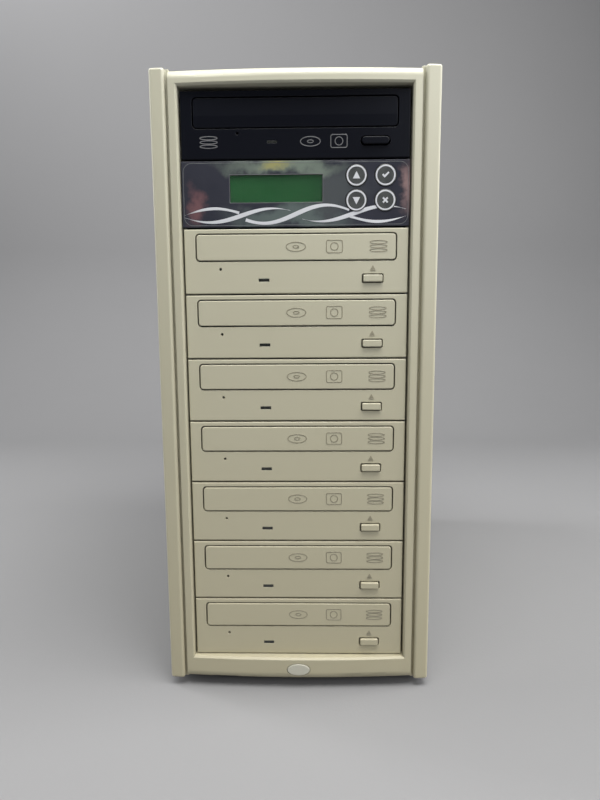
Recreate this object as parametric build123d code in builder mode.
from build123d import *
from math import sqrt
import os

os.makedirs("parts", exist_ok=True)

# Disc duplicator tower. X runs to the right, the front faces -Y and Z points up.
# The origin lies on the floor, under the middle of the tower. Sizes are in millimetres.

# ---- Bays and drives -------------------------------------------------------
writer_count = 7
bay_pitch = 43.0
bezel_seam = 1.0
bezel_overlap = 1.0
bezel_thickness = 5.0
bezel_edge = 0.7

case_width = 146.0
case_height = 41.3
case_depth = 170.0
case_wall = 1.2

# ---- Front moulding --------------------------------------------------------
bow_radius = 1000.0
bow_rise = 6.3
front_depth = 9.0
skin = 2.2
stile_width = 5.8
stile_gap = 1.1
lip_bevel = 1.2
bottom_rail = 17.0
top_rail = 10.0
head_gap = 2.0
rail_round = 6.0

groove_width = 1.9
groove_depth = 3.5
pillar_width = 10.2
pillar_proud = 0.9
pillar_rise = 0.8
pillar_round = 2.0
pillar_end_round = 1.6

# ---- Chassis, cover and feet ----------------------------------------------
body_depth = 349.3
sheet = 1.2
cover_sheet = 1.0
cover_inset = 0.7
cover_drop = 0.6
cover_round = 3.0
cover_lip = 9.0
flange = 10.0
slip = 0.3
bay_wall_depth = 158.0

foot_height = 6.0
foot_radius = 10.0
foot_inset_x = 20.0
foot_inset_y = 24.0

# ---- Rear ------------------------------------------------------------------
psu_width = 150.0
psu_height = 86.0
psu_depth = 140.0
psu_wall = 1.2
psu_head = 6.0
psu_border = 2.0
psu_screw_inset = 6.0
fan_size = 80.0
fan_bore = 38.0
fan_thickness = 25.0
fan_hole_pitch = 71.5
fan_hole_radius = 2.2
fan_shaft_radius = 1.5
shaft_clearance = 0.05
hub_radius = 17.0
hub_depth = 18.0
blade_count = 7
blade_gap = 1.0
bracket = 4.0
guard_thickness = 1.6
guard_rings = 4
psu_fan_x = -18.0
inlet_x = 44.0
case_fan_z = 120.0

screw_head_radius = 3.5
screw_head = 2.2
screw_shank_radius = 1.6
screw_shank = 4.5
screw_clearance = 0.2
low_screw = 40.0
high_screw = 60.0

# ---- Badge -----------------------------------------------------------------
badge_width = 16.0
badge_height = 8.5
badge_thickness = 1.4
badge_proud = 0.4
badge_gap = 0.4

# ---- Vents in the cover ----------------------------------------------------
vent_width = 3.0
vent_length = 36.0
vent_pitch = 8.0
vent_rows = 9
vent_setback = 60.0
vent_z = 110.0

# ---- Rear panel window -----------------------------------------------------
window_corner = 16.0

# ---- Feet ------------------------------------------------------------------
foot_taper = 1.5

# ---- Doors, buttons, trays and loaders -------------------------------------
tray_side = 9.5
tray_height = 7.0
tray_floor = 3.6
tray_length = 148.0
tray_rim = 3.5
tray_guide = 0.3
door_lift = 0.8
door_proud = 0.4
door_round = 2.0
door_edge = 0.5
crease_height = 7.0
crease_fall_up = 0.7
crease_fall_down = 0.4
door_gap = 0.9
disc_radius = 60.0
disc_play = 0.3
disc_step = 1.6
small_disc_radius = 40.0
small_disc_step = 0.7
disc_setback = 10.0
spindle_slot = 18.0
spindle_slot_length = 42.0
rack_x = 46.0
rack_width = 5.0
rack_height = 2.2
rack_tooth = 1.2
rack_pitch = 4.0
rack_end = 7.0
# doors: margin at both sides, height, drop below the top of the bezel
writer_door = (8.25, 16.6, 3.6)
reader_door = (8.4, 17.8, 4.6)
# buttons: distance from the right end, drop, width and height of the hole
writer_button = (23.2, 32.4, 14.4, 6.2)
reader_button = (22.3, 31.5, 19.4, 6.2)
# lenses: offset from the middle, drop, width, height
writer_lens = (-21.4, 33.2, 7.3, 2.1)
reader_lens = (-15.0, 31.5, 6.4, 1.6)
# emergency holes: distance from the left end, drop
writer_pinhole = (23.8, 26.0)
reader_pinhole = (36.7, 26.1)
pinhole_radius = 0.9
lens_play = 0.1
button_gap = 0.8
button_proud = 1.7
button_flange = 1.2
button_brim = 1.6
button_round = 0.6
button_corner = 1.2
deck_wall = 2.5
deck_web = 2.0
deck_ledge = 2.5
deck_lip = 1.5
deck_reach = 3.0
deck_setback = 5.0
deck_length = 158.0
deck_drop = 7.6
spindle_can_radius = 12.0
spindle_can = 3.6
turntable_radius = 14.5
turntable = 1.4
hub_tip_radius = 7.3
hub_tip = 1.4
pickup_width = 40.0
pickup_length = 22.0
pickup_height = 4.4
lens_ring_radius = 5.0
lens_ring = 1.6
pickup_park = 36.0

# ---- Control panel ---------------------------------------------------------
fascia_overlap = 0.3
fascia_seam = 1.5
fascia_thickness = 2.0
housing_wall = 2.0
housing_front = 3.0
housing_depth = 130.0
display_from_keys = 61.6
display_z = 3.4
display_width = 60.3
display_height = 17.3
display_frame = 3.0
key_radius = 7.0
key_gap = 0.3
key_pitch_x = 18.8
key_pitch_z = 15.6
keys_from_end = 25.3
keys_z = 3.3
key_proud = 0.5
key_brim = 0.6
key_flange = 1.0
key_round = 0.4
key_travel = 0.8
switch_size = 6.0
switch_height = 1.2
board_thickness = 1.6
board_boss = 2.5
board_edge = 8.0
standoff_radius = 3.0
standoff = 5.0
controller_width = 120.0
controller_length = 92.0
port_width = 18.0
port_depth = 10.0
port_height = 9.0
port_columns = 4
port_pitch = 26.0
port_row_pitch = 20.0
standoff_inset = 6.0
board_spacing = 8.0

# ---- Power inlet and rocker ------------------------------------------------
inlet_width = 27.0
inlet_height = 47.0
inlet_depth = 22.0
inlet_flange = 2.5
inlet_flange_thickness = 1.6
socket_width = 24.5
socket_height = 17.0
socket_depth = 16.0
socket_z = 11.5
socket_corner = 4.0
pin_width = 2.0
pin_height = 4.0
pin_length = 13.0
pin_pitch = 7.0
rocker_z = -12.0
rocker_half_width = 6.4
rocker_half_height = 9.0
rocker_back = 4.0
rocker_back_half = 6.0
rocker_crest = 3.2
rocker_valley = 1.8
rocker_tilt = 8.0
rocker_gap = 0.4
rocker_pocket_half = 10.2
rocker_pin_radius = 1.0
rocker_pin = 1.4
psu_vents = 9
psu_vent_pitch = 12.0
psu_vent_length = 50.0
psu_vent_width = 4.0

# ---- Fans ------------------------------------------------------------------
strut_width = 3.5
hub_gap = 0.5
hub_round = 1.5
shaft_length = 13.0
shaft_end_gap = 1.0
blade_chord = 20.0
blade_thickness = 1.4
blade_hub_pitch = 48.0
blade_tip_pitch = 30.0
blade_root = 1.0
guard_ring = 2.2
guard_step = 9.5
guard_inner = 8.0
guard_spoke = 2.4
lug_radius = 4.5

# ---- Layout worked out from the sizes above --------------------------------
bezel_width = case_width + 2 * bezel_overlap
bezel_height = bay_pitch - bezel_seam
tray_half = case_width / 2 - tray_side
bay_count = writer_count + 2
bays_z = foot_height + bottom_rail
bays_top = bays_z + bay_count * bay_pitch
head_z = bays_top + head_gap
frame_top = head_z + top_rail
opening_half = bezel_width / 2 + stile_gap
frame_half = opening_half + stile_width
pillar_inner = frame_half + groove_width
body_half = pillar_inner + pillar_width

rear_proud = guard_thickness + screw_head
depth = bow_rise + front_depth + body_depth + rear_proud
front_y = -depth / 2
bezel_y = front_y + bow_rise
plate_y = bezel_y + front_depth
rear_y = plate_y + body_depth
case_y = bezel_y + bezel_thickness

floor_top = foot_height + sheet
cover_half = body_half - cover_inset
cover_top = frame_top - cover_drop
plate_half = cover_half - cover_sheet - slip
plate_top = cover_top - cover_sheet - slip
plate_round = cover_round - cover_sheet
bay_half = case_width / 2 + slip


def bay_z(index):
    """Height of the middle of a bay, counted from the lowest."""
    return bays_z + (index + 0.5) * bay_pitch


def bow_y(x, proud=0.0):
    """Depth of the bowed front at a distance from the middle."""
    return front_y + bow_radius - sqrt((bow_radius + proud) ** 2 - x**2)


def upright(y):
    """Upright plane at a depth, facing the front, whose sketches read as X and Z."""
    return Plane.XZ.offset(-y)


def back(distance):
    """Extrusion length that runs from an upright plane towards the rear."""
    return -distance


def save(part, name):
    """Label a finished piece and write it under its own name."""
    part.label = name
    export_step(part, f"parts/{name}.step")


reader_bay = bay_count - 1
panel_bay = bay_count - 2
drives = [("reader", reader_bay)]
drives += [(f"writer_{n}", writer_count - n) for n in range(1, writer_count + 1)]

# ---- Front moulding: a bowed frame round the nine bays -----------------------
badge_z = foot_height + bottom_rail / 2
badge_y = front_y + badge_thickness - badge_proud


def bowed_plan(half, inset):
    """Plan of the bowed front between two sides, set in by a wall."""
    y = bow_y(half, -inset)
    Polyline((-half, y), (-half, plate_y), (half, plate_y), (half, y))
    ThreePointArc((half, y), (0, front_y + inset), (-half, y))


with BuildPart() as front_bezel:
    with BuildSketch(Plane.XY.offset(foot_height)):
        with BuildLine():
            bowed_plan(frame_half, 0)
        make_face()
    extrude(amount=frame_top - foot_height)
    bowed = front_bezel.edges().filter_by(GeomType.CIRCLE).sort_by(Axis.Z)
    fillet((bowed[0], bowed[-1]), rail_round)
    for rail_z, rail in ((foot_height, bottom_rail), (head_z, top_rail)):
        with BuildSketch(Plane.XY.offset(rail_z + skin)):
            with BuildLine():
                bowed_plan(frame_half - skin, skin)
            make_face()
        extrude(amount=rail - 2 * skin, mode=Mode.SUBTRACT)
    with BuildSketch(upright(front_y)):
        with Locations((0, (bays_z + head_z) / 2)):
            Rectangle(2 * opening_half, head_z - bays_z)
    extrude(amount=back(plate_y - front_y), mode=Mode.SUBTRACT)
    bowed_face = front_bezel.faces().filter_by(GeomType.CYLINDER).sort_by(SortBy.AREA)[-1]
    chamfer(bowed_face.inner_wires()[0].edges(), lip_bevel)
    with BuildSketch(upright(badge_y)):
        with Locations((0, badge_z)):
            Ellipse(badge_width / 2 + badge_gap, badge_height / 2 + badge_gap)
    extrude(amount=front_depth, mode=Mode.SUBTRACT)
save(front_bezel.part, "front_bezel")

with BuildPart() as badge_blank:
    with BuildSketch(upright(badge_y)):
        with Locations((0, badge_z)):
            Ellipse(badge_width / 2, badge_height / 2)
    extrude(amount=badge_thickness)
    fillet(badge_blank.faces().sort_by(Axis.Y)[0].edges(), badge_proud)
save(badge_blank.part, "badge_blank")

# ---- Side pillars ------------------------------------------------------------
pillar_top = frame_top + pillar_rise


def pillar(side):
    """One side pillar: a hollow upright with a tongue that closes the groove."""
    outer_y = bow_y(body_half, pillar_proud)
    inner_y = bow_y(pillar_inner, pillar_proud)
    groove_y = bow_y(frame_half) + groove_depth
    middle = pillar_inner + pillar_width / 2
    with BuildPart() as upright_piece:
        with BuildSketch(Plane.XY.offset(foot_height)) as plan:
            with BuildLine():
                Polyline(
                    (side * body_half, outer_y),
                    (side * body_half, plate_y),
                    (side * frame_half, plate_y),
                    (side * frame_half, groove_y),
                    (side * pillar_inner, groove_y),
                    (side * pillar_inner, inner_y),
                    (side * body_half, outer_y),
                )
            make_face()
            fillet(plan.vertices().sort_by(Axis.Y)[0:2], pillar_round)
        extrude(amount=pillar_top - foot_height)
        ends = upright_piece.faces().filter_by(Axis.Z).edges()
        fillet(ends.filter_by_position(Axis.Y, front_y, groove_y - groove_depth / 2), pillar_end_round)
        with BuildSketch(Plane.XY.offset(foot_height + skin)):
            with Locations((side * middle, (outer_y + skin + pillar_round + plate_y) / 2)):
                Rectangle(pillar_width - 2 * skin, plate_y - outer_y - skin - pillar_round)
        extrude(amount=pillar_top - foot_height - 2 * skin, mode=Mode.SUBTRACT)
    return upright_piece.part


for side, name in ((-1, "pillar_left"), (1, "pillar_right")):
    save(pillar(side), name)

# ---- Chassis: floor, front plate and bay cage, welded in one ------------------
with BuildPart() as chassis:
    with BuildSketch(Plane.XY.offset(foot_height)):
        with Locations((0, (plate_y + rear_y) / 2)):
            Rectangle(2 * plate_half, rear_y - plate_y)
    extrude(amount=sheet)
    with BuildSketch(upright(plate_y)) as front_plate:
        with Locations((0, (foot_height + plate_top) / 2)):
            Rectangle(2 * plate_half, plate_top - foot_height)
        fillet(front_plate.vertices().group_by(Axis.Y)[-1], plate_round)
        with Locations((0, (bays_z + bays_top) / 2)):
            Rectangle(2 * bay_half, bays_top - bays_z, mode=Mode.SUBTRACT)
    extrude(amount=back(sheet))
    with BuildSketch(upright(plate_y)):
        with Locations((0, (bays_z + bays_top) / 2)):
            Rectangle(2 * (bay_half + sheet), bays_top - bays_z + 2 * sheet)
            Rectangle(2 * bay_half, bays_top - bays_z, mode=Mode.SUBTRACT)
        with Locations((-bay_half - sheet / 2, 0), (bay_half + sheet / 2, 0)):
            Rectangle(sheet, bays_z, align=(Align.CENTER, Align.MIN))
        with Locations((0, foot_height / 2)):
            Rectangle(2 * plate_half, foot_height, mode=Mode.SUBTRACT)
    extrude(amount=back(bay_wall_depth))
    with BuildSketch(upright(plate_y)):
        with Locations((-plate_half + sheet / 2, foot_height), (plate_half - sheet / 2, foot_height)):
            Rectangle(sheet, flange + sheet, align=(Align.CENTER, Align.MIN))
    extrude(amount=back(body_depth - sheet))
save(chassis.part, "chassis")

# ---- Outer cover: one sheet folded over the top and both sides ----------------
vent_y = plate_y + bay_wall_depth + vent_setback
screw_hole = screw_shank_radius + screw_clearance
side_hole_x = cover_half - cover_lip / 2
side_screw_z = [foot_height + low_screw, (foot_height + cover_top) / 2, cover_top - high_screw]
cover_screws = [(side * side_hole_x, z) for side in (-1, 1) for z in side_screw_z]


with BuildPart() as outer_cover:
    for inset, length, mode in (
        (0, body_depth + cover_sheet, Mode.ADD),
        (cover_sheet, body_depth, Mode.SUBTRACT),
    ):
        with BuildSketch(upright(plate_y)) as section:
            with Locations((0, foot_height)):
                Rectangle(
                    2 * (cover_half - inset),
                    cover_top - inset - foot_height,
                    align=(Align.CENTER, Align.MIN),
                )
            fillet(section.vertices().group_by(Axis.Y)[-1], cover_round - inset)
        extrude(amount=back(length), mode=mode)
    with BuildSketch(upright(rear_y)):
        with Locations((0, foot_height)):
            Rectangle(
                2 * (cover_half - cover_lip),
                cover_top - cover_lip - foot_height,
                align=(Align.CENTER, Align.MIN),
            )
        with Locations(cover_screws):
            Circle(screw_hole)
    extrude(amount=back(cover_sheet), mode=Mode.SUBTRACT)
    with BuildSketch(Plane.YZ):
        with Locations((vent_y, vent_z)):
            with GridLocations(0, vent_pitch, 1, vent_rows):
                SlotOverall(vent_length, vent_width)
    extrude(amount=body_half, both=True, mode=Mode.SUBTRACT)
save(outer_cover.part, "outer_cover")

# ---- Rear panel ----------------------------------------------------------------
panel_face = rear_y - sheet
panel_foot = floor_top + flange + slip
panel_top = plate_top
psu_top = panel_top - psu_head
psu_z = psu_top - psu_height / 2
psu_rear = panel_face
psu_hole_x = psu_width / 2 - psu_screw_inset
psu_hole_z = psu_height / 2 - psu_screw_inset

psu_screws = [(x, psu_z + z) for x in (-psu_hole_x, psu_hole_x) for z in (-psu_hole_z, psu_hole_z)]
fan_centres = [(psu_fan_x, psu_z), (0, case_fan_z)]
fan_offsets = [(i * fan_hole_pitch / 2, j * fan_hole_pitch / 2) for i in (-1, 1) for j in (-1, 1)]
case_fan_screws = [(x, case_fan_z + z) for x, z in fan_offsets]
psu_fan_screws = [(psu_fan_x + x, psu_z + z) for x, z in fan_offsets]

with BuildPart() as rear_panel:
    with BuildSketch(upright(panel_face)) as panel_sheet:
        with Locations((0, floor_top)):
            Rectangle(2 * plate_half, panel_top - floor_top, align=(Align.CENTER, Align.MIN))
        fillet(panel_sheet.vertices().group_by(Axis.Y)[-1], plate_round)
        with Locations((0, case_fan_z)):
            Circle(fan_bore, mode=Mode.SUBTRACT)
        with Locations(cover_screws + psu_screws + case_fan_screws):
            Circle(screw_hole, mode=Mode.SUBTRACT)
        with BuildSketch(mode=Mode.SUBTRACT) as window:
            with Locations((0, psu_z)):
                Rectangle(psu_width - 2 * psu_border, psu_height - 2 * psu_border)
            chamfer(window.vertices(), window_corner)
    extrude(amount=back(sheet))
    with BuildSketch(upright(panel_face)) as panel_flange:
        with Locations((0, panel_foot)):
            Rectangle(2 * plate_half, panel_top - panel_foot, align=(Align.CENTER, Align.MIN))
        fillet(panel_flange.vertices().group_by(Axis.Y)[-1], plate_round)
        with Locations((0, panel_foot)):
            Rectangle(
                2 * (plate_half - sheet),
                panel_top - panel_foot - sheet,
                align=(Align.CENTER, Align.MIN),
                mode=Mode.SUBTRACT,
            )
    extrude(amount=flange)
save(rear_panel.part, "rear_panel")

# ---- Rubber feet -----------------------------------------------------------------
foot_x = body_half - foot_inset_x
foot_front = plate_y + foot_inset_y
foot_rear = rear_y - foot_inset_y

with BuildPart() as rubber_feet:
    with Locations([(x, y, 0) for x in (-foot_x, foot_x) for y in (foot_front, foot_rear)]):
        Cone(
            foot_radius - foot_taper,
            foot_radius,
            foot_height,
            align=(Align.CENTER, Align.CENTER, Align.MIN),
        )
save(rubber_feet.part, "rubber_feet")

# ---- Drives ------------------------------------------------------------------------


disc_y = case_y + disc_setback + disc_radius + disc_play
pickup_y = disc_y + pickup_park


def door_box(kind):
    """Width, height and bottom edge of a drive's door, below the top of its bezel."""
    margin, height, drop = reader_door if kind == "reader" else writer_door
    return bezel_width - 2 * margin, height, bezel_height / 2 - drop - height


def button_hole(kind, z):
    """Middle, width and height of the hole for a drive's eject button."""
    from_end, drop, width, height = reader_button if kind == "reader" else writer_button
    return (bezel_width / 2 - from_end, z + bezel_height / 2 - drop), width, height


def drive_case(z):
    """Folded steel case, open at the front where the bezel closes it."""
    with BuildPart() as case:
        with BuildSketch(upright(case_y)):
            with Locations((0, z)):
                Rectangle(case_width, case_height)
        extrude(amount=back(case_depth))
        with BuildSketch(upright(case_y)):
            with Locations((0, z)):
                Rectangle(case_width - 2 * case_wall, case_height - 2 * case_wall)
        extrude(amount=back(case_depth - case_wall), mode=Mode.SUBTRACT)
    return case.part


def drive_bezel(kind, z):
    """Front plate of a drive, with the tray slot, button, lens and emergency holes."""
    top = z + bezel_height / 2
    width, height, bottom = door_box(kind)
    button_middle, button_width, button_height = button_hole(kind, z)
    lens_x, lens_drop, lens_width, lens_height = reader_lens if kind == "reader" else writer_lens
    pinhole_inset, pinhole_drop = reader_pinhole if kind == "reader" else writer_pinhole
    with BuildPart() as bezel:
        with BuildSketch(upright(bezel_y)):
            with Locations((0, z)):
                Rectangle(bezel_width, bezel_height)
        extrude(amount=back(bezel_thickness))
        fillet(bezel.faces().sort_by(Axis.Y)[0].edges(), bezel_edge)
        with BuildSketch(upright(bezel_y)):
            with Locations((0, z + bottom + height / 2)):
                RectangleRounded(width + 2 * door_gap, height + 2 * door_gap, door_round + door_gap)
            with Locations((lens_x, top - lens_drop)):
                Rectangle(lens_width, lens_height)
            with Locations((pinhole_inset - bezel_width / 2, top - pinhole_drop)):
                Circle(pinhole_radius)
            with Locations(button_middle):
                if kind == "reader":
                    SlotOverall(button_width, button_height)
                else:
                    RectangleRounded(button_width, button_height, button_corner)
        extrude(amount=back(bezel_thickness), mode=Mode.SUBTRACT)
    return bezel.part


def drive_button(kind, z):
    """Eject button: a cap through the bezel and a flange that stops it behind."""
    middle, hole_width, hole_height = button_hole(kind, z)
    width, height = hole_width - 2 * button_gap, hole_height - 2 * button_gap
    with BuildPart() as button:
        with BuildSketch(upright(bezel_y - button_proud)):
            with Locations(middle):
                if kind == "reader":
                    SlotOverall(width, height)
                else:
                    RectangleRounded(width, height, button_corner - button_gap / 2)
        extrude(amount=back(button_proud + bezel_thickness + slip))
        fillet(button.faces().sort_by(Axis.Y)[0].edges(), button_round)
        with BuildSketch(upright(case_y + slip)):
            with Locations(middle):
                Rectangle(hole_width + 2 * button_brim, hole_height + 2 * button_brim)
        extrude(amount=back(button_flange))
    return button.part


def drive_tray(kind, z):
    """Disc tray: door, rimmed floor with stepped disc wells, spindle slot and rack."""
    width, height, bottom = door_box(kind)
    base = z + bottom + door_lift
    well_floor = base + tray_height - disc_step
    with BuildPart() as tray:
        with BuildSketch(upright(bezel_y - door_proud)):
            with Locations((0, z + bottom + height / 2)):
                RectangleRounded(width, height, door_round)
        extrude(amount=back(bezel_thickness + door_proud))
        if kind == "reader":
            door_y = bezel_y - door_proud
            crease_z = z + bottom + crease_height
            with BuildSketch(Plane.YZ):
                for edge_z, fall in (
                    (z + bottom + height, crease_fall_up),
                    (z + bottom, crease_fall_down),
                ):
                    with BuildLine():
                        Polyline(
                            (door_y, crease_z),
                            (door_y, edge_z),
                            (door_y + fall, edge_z),
                            (door_y, crease_z),
                        )
                    make_face()
            extrude(amount=width / 2, both=True, mode=Mode.SUBTRACT)
        else:
            fillet(tray.faces().sort_by(Axis.Y)[0].edges(), door_edge)
        with BuildSketch(Plane.XY.offset(base)):
            with Locations((0, case_y)):
                Rectangle(2 * tray_half, tray_length, align=(Align.CENTER, Align.MIN))
        extrude(amount=tray_height)
        with BuildSketch(Plane.XY.offset(base)):
            with Locations((0, case_y + tray_rim)):
                Rectangle(
                    2 * (tray_half - tray_rim),
                    tray_length - 2 * tray_rim,
                    align=(Align.CENTER, Align.MIN),
                )
        extrude(amount=tray_height - tray_floor, mode=Mode.SUBTRACT)
        with BuildSketch(Plane.XY.offset(well_floor)):
            with Locations((0, disc_y)):
                Circle(disc_radius + disc_play)
        extrude(amount=disc_step, mode=Mode.SUBTRACT)
        with BuildSketch(Plane.XY.offset(well_floor - small_disc_step)):
            with Locations((0, disc_y)):
                Circle(small_disc_radius + disc_play)
        extrude(amount=small_disc_step, mode=Mode.SUBTRACT)
        with BuildSketch(Plane.XY.offset(base)):
            with Locations((0, disc_y)):
                Circle(spindle_slot)
                Rectangle(2 * spindle_slot, spindle_slot_length, align=(Align.CENTER, Align.MIN))
        extrude(amount=tray_height, mode=Mode.SUBTRACT)
        with BuildSketch(Plane.XY.offset(base + tray_height - tray_floor - rack_height)):
            with Locations((rack_x, case_y + tray_rim)):
                Rectangle(rack_width, tray_length - 2 * tray_rim, align=(Align.CENTER, Align.MIN))
        extrude(amount=rack_height)
        teeth = int((tray_length - 2 * rack_end) / rack_pitch)
        with BuildSketch(Plane.YZ.offset(rack_x - rack_width / 2)):
            with Locations((case_y + tray_length / 2, base + tray_height - tray_floor - rack_height)):
                with GridLocations(rack_pitch, 0, teeth, 1):
                    Rectangle(rack_pitch / 2, rack_tooth, align=(Align.CENTER, Align.MIN))
        extrude(amount=rack_width, mode=Mode.SUBTRACT)
    return tray.part


for kind, bay in drives:
    middle = bay_z(bay)
    save(drive_case(middle), f"{kind}_case")
    save(drive_bezel(kind, middle), f"{kind}_bezel")
    save(drive_tray(kind, middle), f"{kind}_tray")
    save(drive_button(kind, middle), f"{kind}_eject_button")


# Inside every drive: the loader deck with the tray's guides, the spindle and the pickup.
def tray_base(kind, bay):
    """Underside of a drive's tray."""
    return bay_z(bay) + door_box(kind)[2] + door_lift


with BuildPart() as loader_decks:
    for kind, bay in drives:
        base = tray_base(kind, bay)
        tray_top = base + tray_height
        case_floor = bay_z(bay) - case_height / 2 + case_wall
        rail = tray_half + tray_guide
        web_top = base - deck_drop
        with BuildSketch(upright(case_y + deck_setback)):
            for side in (-1, 1):
                with Locations((side * (rail + deck_wall / 2), case_floor)):
                    wall_height = tray_top + tray_guide + deck_lip - case_floor
                    Rectangle(deck_wall, wall_height, align=(Align.CENTER, Align.MIN))
                with Locations((side * (rail - deck_reach / 2), base - tray_guide)):
                    Rectangle(deck_reach, deck_ledge, align=(Align.CENTER, Align.MAX))
                with Locations((side * (rail - deck_reach / 2), tray_top + tray_guide)):
                    Rectangle(deck_reach, deck_lip, align=(Align.CENTER, Align.MIN))
            with Locations((0, web_top)):
                Rectangle(2 * rail, deck_web, align=(Align.CENTER, Align.MAX))
        extrude(amount=back(deck_length))
save(loader_decks.part, "loader_decks")

with BuildPart() as disc_spindles:
    for kind, bay in drives:
        with BuildSketch(Plane.XZ.offset(-disc_y)):
            with BuildLine():
                web_top = tray_base(kind, bay) - deck_drop
                table_z = web_top + spindle_can
                Polyline(
                    (0, web_top),
                    (spindle_can_radius, web_top),
                    (spindle_can_radius, table_z),
                    (turntable_radius, table_z),
                    (turntable_radius, table_z + turntable),
                    (hub_tip_radius, table_z + turntable),
                    (hub_tip_radius - hub_tip, table_z + turntable + hub_tip),
                    (0, table_z + turntable + hub_tip),
                    (0, web_top),
                )
            make_face()
        revolve(axis=Axis((0, disc_y, 0), (0, 0, 1)))
save(disc_spindles.part, "disc_spindles")

with BuildPart() as optical_pickups:
    for kind, bay in drives:
        web_top = tray_base(kind, bay) - deck_drop
        with BuildSketch(Plane.XY.offset(web_top)):
            with Locations((0, pickup_y)):
                Rectangle(pickup_width, pickup_length)
        extrude(amount=pickup_height)
        with BuildSketch(Plane.XY.offset(web_top + pickup_height)):
            with Locations((0, pickup_y)):
                Circle(lens_ring_radius)
        extrude(amount=lens_ring)
save(optical_pickups.part, "optical_pickups")

with BuildPart() as busy_lenses:
    for kind, bay in drives:
        x, drop, width, height = reader_lens if kind == "reader" else writer_lens
        with BuildSketch(upright(bezel_y + lens_play)):
            with Locations((x, bay_z(bay) + bezel_height / 2 - drop)):
                Rectangle(width - 2 * lens_play, height - 2 * lens_play)
        extrude(amount=back(bezel_thickness))
save(busy_lenses.part, "busy_lenses")

# ---- Control panel in the bay under the reader -----------------------------------------
panel_z = bay_z(panel_bay)

fascia_width = bezel_width + 2 * fascia_overlap
fascia_height = bay_pitch - fascia_seam
keys_x = fascia_width / 2 - keys_from_end
display_x = keys_x - display_from_keys
key_places = {
    "key_up": (keys_x - key_pitch_x / 2, panel_z + keys_z + key_pitch_z / 2),
    "key_down": (keys_x - key_pitch_x / 2, panel_z + keys_z - key_pitch_z / 2),
    "key_enter": (keys_x + key_pitch_x / 2, panel_z + keys_z + key_pitch_z / 2),
    "key_escape": (keys_x + key_pitch_x / 2, panel_z + keys_z - key_pitch_z / 2),
}
display_place = (display_x, panel_z + display_z)
housing_y = bezel_y + fascia_thickness
key_flange_y = housing_y + housing_front + slip
switch_y = key_flange_y + key_flange + key_travel + slip
board_y = switch_y + switch_height
board_half_x = case_width / 2 - housing_wall - board_edge
board_half_z = case_height / 2 - housing_wall - board_boss / 2
boss_x = (-board_half_x + board_boss, display_x + display_width / 2 + display_frame + 2 * board_boss)
board_bosses = [(x, panel_z + side * (board_half_z - board_boss)) for x in boss_x for side in (-1, 1)]

with BuildPart() as control_fascia:
    with BuildSketch(upright(bezel_y)):
        with Locations((0, panel_z)):
            Rectangle(fascia_width, fascia_height)
        with Locations(display_place):
            Rectangle(display_width, display_height, mode=Mode.SUBTRACT)
        with Locations(list(key_places.values())):
            Circle(key_radius + key_gap, mode=Mode.SUBTRACT)
    extrude(amount=back(fascia_thickness))
save(control_fascia.part, "control_fascia")

with BuildPart() as control_housing:
    with BuildSketch(upright(housing_y)):
        with Locations((0, panel_z)):
            Rectangle(case_width, case_height)
    extrude(amount=back(housing_depth))
    with BuildSketch(upright(housing_y + housing_front)):
        with Locations((0, panel_z + housing_wall)):
            Rectangle(case_width - 2 * housing_wall, case_height)
    extrude(amount=back(housing_depth - housing_front - housing_wall), mode=Mode.SUBTRACT)
    with BuildSketch(upright(housing_y)):
        with Locations(display_place):
            Rectangle(display_width + 2 * (display_frame + slip), display_height + 2 * (display_frame + slip))
        with Locations(list(key_places.values())):
            Circle(key_radius + key_gap)
    extrude(amount=back(housing_front), mode=Mode.SUBTRACT)
    with BuildSketch(upright(housing_y + housing_front)):
        with Locations(board_bosses):
            Circle(board_boss)
    extrude(amount=back(board_y - housing_y - housing_front))
save(control_housing.part, "control_housing")

with BuildPart() as lcd_module:
    with BuildSketch(upright(board_y)):
        with Locations((0, panel_z)):
            Rectangle(2 * board_half_x, 2 * board_half_z)
    extrude(amount=back(board_thickness))
    with BuildSketch(upright(housing_y)):
        with Locations(display_place):
            Rectangle(display_width + 2 * display_frame, display_height + 2 * display_frame)
    extrude(amount=back(board_y - housing_y))
    with BuildSketch(upright(switch_y)):
        with Locations(list(key_places.values())):
            Rectangle(switch_size, switch_size)
    extrude(amount=back(switch_height))
save(lcd_module.part, "lcd_module")

for name, place in key_places.items():
    with BuildPart() as key:
        with BuildSketch(upright(bezel_y - key_proud)):
            with Locations(place):
                Circle(key_radius)
        extrude(amount=back(key_flange_y - bezel_y + key_proud))
        fillet(key.faces().sort_by(Axis.Y)[0].edges(), key_round)
        with BuildSketch(upright(key_flange_y)):
            with Locations(place):
                Circle(key_radius + key_brim)
        extrude(amount=back(key_flange))
    save(key.part, name)

controller_y = board_y + board_thickness + board_spacing
controller_z = panel_z - case_height / 2 + housing_wall + standoff

with BuildPart() as controller_board:
    with BuildSketch(Plane.XY.offset(controller_z)):
        with Locations((0, controller_y)):
            Rectangle(controller_width, controller_length, align=(Align.CENTER, Align.MIN))
    extrude(amount=board_thickness)
    with BuildSketch(Plane.XY.offset(controller_z + board_thickness)):
        with Locations((0, controller_y + controller_length - port_row_pitch)):
            with GridLocations(port_pitch, port_row_pitch, port_columns, 2):
                Rectangle(port_width, port_depth)
    extrude(amount=port_height)
    with BuildSketch(Plane.XY.offset(controller_z)):
        with Locations((0, controller_y + controller_length / 2)):
            with GridLocations(
                controller_width - 2 * standoff_inset,
                controller_length - 2 * standoff_inset,
                2,
                2,
            ):
                Circle(standoff_radius)
    extrude(amount=-standoff)
save(controller_board.part, "controller_board")

# ---- Power supply, inlet and rocker ------------------------------------------------------
inlet_z = psu_z

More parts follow.
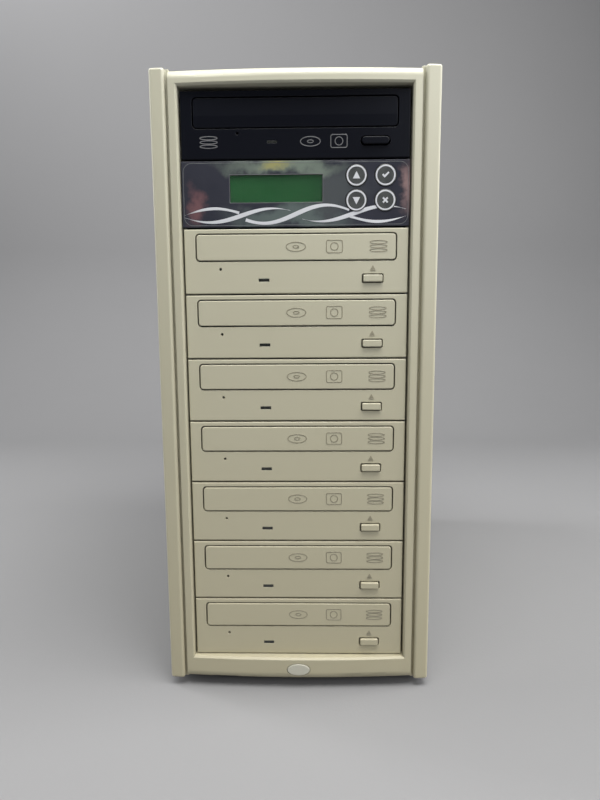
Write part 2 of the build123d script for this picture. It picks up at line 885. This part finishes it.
with BuildPart() as psu_case:
    with BuildSketch(upright(psu_rear - psu_depth)):
        with Locations((0, psu_z)):
            Rectangle(psu_width, psu_height)
    extrude(amount=back(psu_depth))
    with BuildSketch(upright(psu_rear - psu_depth + psu_wall)):
        with Locations((0, psu_z)):
            Rectangle(psu_width - 2 * psu_wall, psu_height - 2 * psu_wall)
    extrude(amount=back(psu_depth - 2 * psu_wall), mode=Mode.SUBTRACT)
    with BuildSketch(upright(psu_rear - psu_wall)):
        with Locations((psu_fan_x, psu_z)):
            Circle(fan_bore)
        with Locations((inlet_x, inlet_z)):
            Rectangle(inlet_width + 2 * slip, inlet_height + 2 * slip)
        with Locations(psu_screws + psu_fan_screws):
            Circle(screw_hole)
    extrude(amount=back(psu_wall), mode=Mode.SUBTRACT)
    with BuildSketch(upright(psu_rear - psu_depth)):
        with Locations((0, psu_z)):
            with GridLocations(psu_vent_pitch, 0, psu_vents, 1):
                SlotOverall(psu_vent_length, psu_vent_width, rotation=90)
    extrude(amount=back(psu_wall), mode=Mode.SUBTRACT)
save(psu_case.part, "psu_case")

with BuildPart() as power_inlet:
    with BuildSketch(upright(psu_rear)):
        with Locations((inlet_x, inlet_z)):
            Rectangle(inlet_width + 2 * inlet_flange, inlet_height + 2 * inlet_flange)
    extrude(amount=back(inlet_flange_thickness))
    with BuildSketch(upright(psu_rear)):
        with Locations((inlet_x, inlet_z)):
            Rectangle(inlet_width, inlet_height)
    extrude(amount=inlet_depth)
    socket_face = psu_rear + inlet_flange_thickness
    with BuildSketch(upright(socket_face)) as socket:
        with Locations((inlet_x, inlet_z + socket_z)):
            Rectangle(socket_width, socket_height)
        chamfer(socket.vertices().group_by(Axis.Y)[-1], socket_corner)
    extrude(amount=socket_depth, mode=Mode.SUBTRACT)
    with BuildSketch(upright(socket_face)):
        with Locations((inlet_x, inlet_z + rocker_z)):
            Rectangle(2 * (rocker_half_width + rocker_gap), 2 * rocker_pocket_half)
    extrude(amount=socket_depth, mode=Mode.SUBTRACT)
    with BuildSketch(upright(socket_face - socket_depth)):
        with Locations(
            (inlet_x, inlet_z + socket_z + pin_height / 2),
            (inlet_x - pin_pitch, inlet_z + socket_z - pin_height / 2),
            (inlet_x + pin_pitch, inlet_z + socket_z - pin_height / 2),
        ):
            Rectangle(pin_width, pin_height)
    extrude(amount=back(pin_length))
    axle_y = socket_face - rocker_crest
    with BuildSketch(Plane.YZ.offset(inlet_x)):
        with Locations((axle_y, inlet_z + rocker_z)):
            Circle(rocker_pin_radius + shaft_clearance)
    extrude(amount=rocker_half_width + rocker_pin + rocker_gap, both=True, mode=Mode.SUBTRACT)
save(power_inlet.part, "power_inlet")

rocker_plane = Plane(
    origin=(inlet_x, axle_y, inlet_z + rocker_z),
    x_dir=Vector(0, 1, 0).rotate(Axis.X, rocker_tilt),
    z_dir=(1, 0, 0),
)
with BuildPart() as power_rocker:
    with BuildSketch(rocker_plane):
        with BuildLine():
            Polyline(
                (rocker_valley, 0),
                (rocker_crest, rocker_half_height),
                (-rocker_back, rocker_back_half),
                (-rocker_back, -rocker_back_half),
                (rocker_crest, -rocker_half_height),
                (rocker_valley, 0),
            )
        make_face()
    extrude(amount=rocker_half_width, both=True)
    with BuildSketch(rocker_plane):
        Circle(rocker_pin_radius)
    extrude(amount=rocker_half_width + rocker_pin, both=True)
save(power_rocker.part, "power_rocker")

# ---- Fans: frames, rotors and guards --------------------------------------------------------
fan_faces = (psu_rear - psu_wall, panel_face)
guard_faces = (psu_rear, rear_y)
fan_names = ("psu_fan_rotor", "case_fan_rotor")

with BuildPart() as fan_frames:
    for (x, z), face in zip(fan_centres, fan_faces):
        with BuildSketch(upright(face - fan_thickness)):
            with Locations((x, z)):
                RectangleRounded(fan_size, fan_size, fan_hole_radius)
                Circle(fan_bore, mode=Mode.SUBTRACT)
            with Locations([(x + i, z + j) for i, j in fan_offsets]):
                Circle(fan_hole_radius, mode=Mode.SUBTRACT)
        extrude(amount=back(fan_thickness))
        with BuildSketch(upright(face - bracket)):
            with Locations((x, z)):
                Circle(hub_radius)
                Rectangle(strut_width, 2 * fan_bore + strut_width)
                Rectangle(2 * fan_bore + strut_width, strut_width)
        extrude(amount=back(bracket))
        with BuildSketch(upright(face - bracket)):
            with Locations((x, z)):
                Circle(fan_shaft_radius)
        extrude(amount=shaft_length)
save(fan_frames.part, "fan_frames")


def fan_rotor(x, z, face):
    """Hub with a blind bore and a ring of twisted blades, turning about Y."""
    hub_rear = face - bracket - hub_gap
    middle_y = hub_rear - hub_depth / 2
    tip = sqrt((fan_bore - blade_gap) ** 2 - (blade_chord / 2) ** 2)
    with BuildPart() as rotor:
        with BuildSketch(upright(hub_rear)):
            with Locations((x, z)):
                Circle(hub_radius)
        extrude(amount=hub_depth)
        fillet(rotor.edges().sort_by(Axis.Y)[0], hub_round)
        for blade in range(blade_count):
            turned = Plane.XY.rotated((0, -360.0 * blade / blade_count, 0))
            radial = turned.x_dir
            for radius, pitch, chord in (
                (hub_radius - blade_root, blade_hub_pitch, hub_depth),
                (tip, blade_tip_pitch, blade_chord),
            ):
                origin = Vector(x, middle_y, z) + radial * radius
                along = Vector(0, 1, 0).rotate(Axis((0, 0, 0), radial), pitch - 90)
                with BuildSketch(Plane(origin=origin, x_dir=along, z_dir=radial)):
                    Rectangle(chord, blade_thickness)
            loft()
        with BuildSketch(upright(hub_rear)):
            with Locations((x, z)):
                Circle(fan_shaft_radius + shaft_clearance)
        extrude(amount=shaft_length - hub_gap + shaft_end_gap, mode=Mode.SUBTRACT)
    return rotor.part


for name, (x, z), face in zip(fan_names, fan_centres, fan_faces):
    save(fan_rotor(x, z, face), name)

with BuildPart() as fan_guards:
    for (x, z), face in zip(fan_centres, guard_faces):
        lugs = [(x + i, z + j) for i, j in fan_offsets]
        with BuildSketch(upright(face)):
            with Locations((x, z)):
                for ring in reversed(range(guard_rings)):
                    Circle(guard_inner + ring * guard_step)
                    Circle(guard_inner + ring * guard_step - guard_ring, mode=Mode.SUBTRACT)
                for turn in (45, -45):
                    Rectangle(sqrt(2) * fan_hole_pitch, guard_spoke, rotation=turn)
            with Locations(lugs):
                Circle(lug_radius)
                Circle(screw_hole, mode=Mode.SUBTRACT)
        extrude(amount=back(guard_thickness))
save(fan_guards.part, "fan_guards")

# ---- Screws that hold the cover, the power supply and the fans -----------------------------------
screw_seats = [(rear_y + cover_sheet, cover_screws), (rear_y, psu_screws)]
screw_seats += [(psu_rear + guard_thickness, psu_fan_screws), (rear_y + guard_thickness, case_fan_screws)]

with BuildPart() as case_screws:
    for seat, places in screw_seats:
        for radius, length in ((screw_head_radius, back(screw_head)), (screw_shank_radius, screw_shank)):
            with BuildSketch(upright(seat)):
                with Locations(places):
                    Circle(radius)
            extrude(amount=length)
save(case_screws.part, "case_screws")
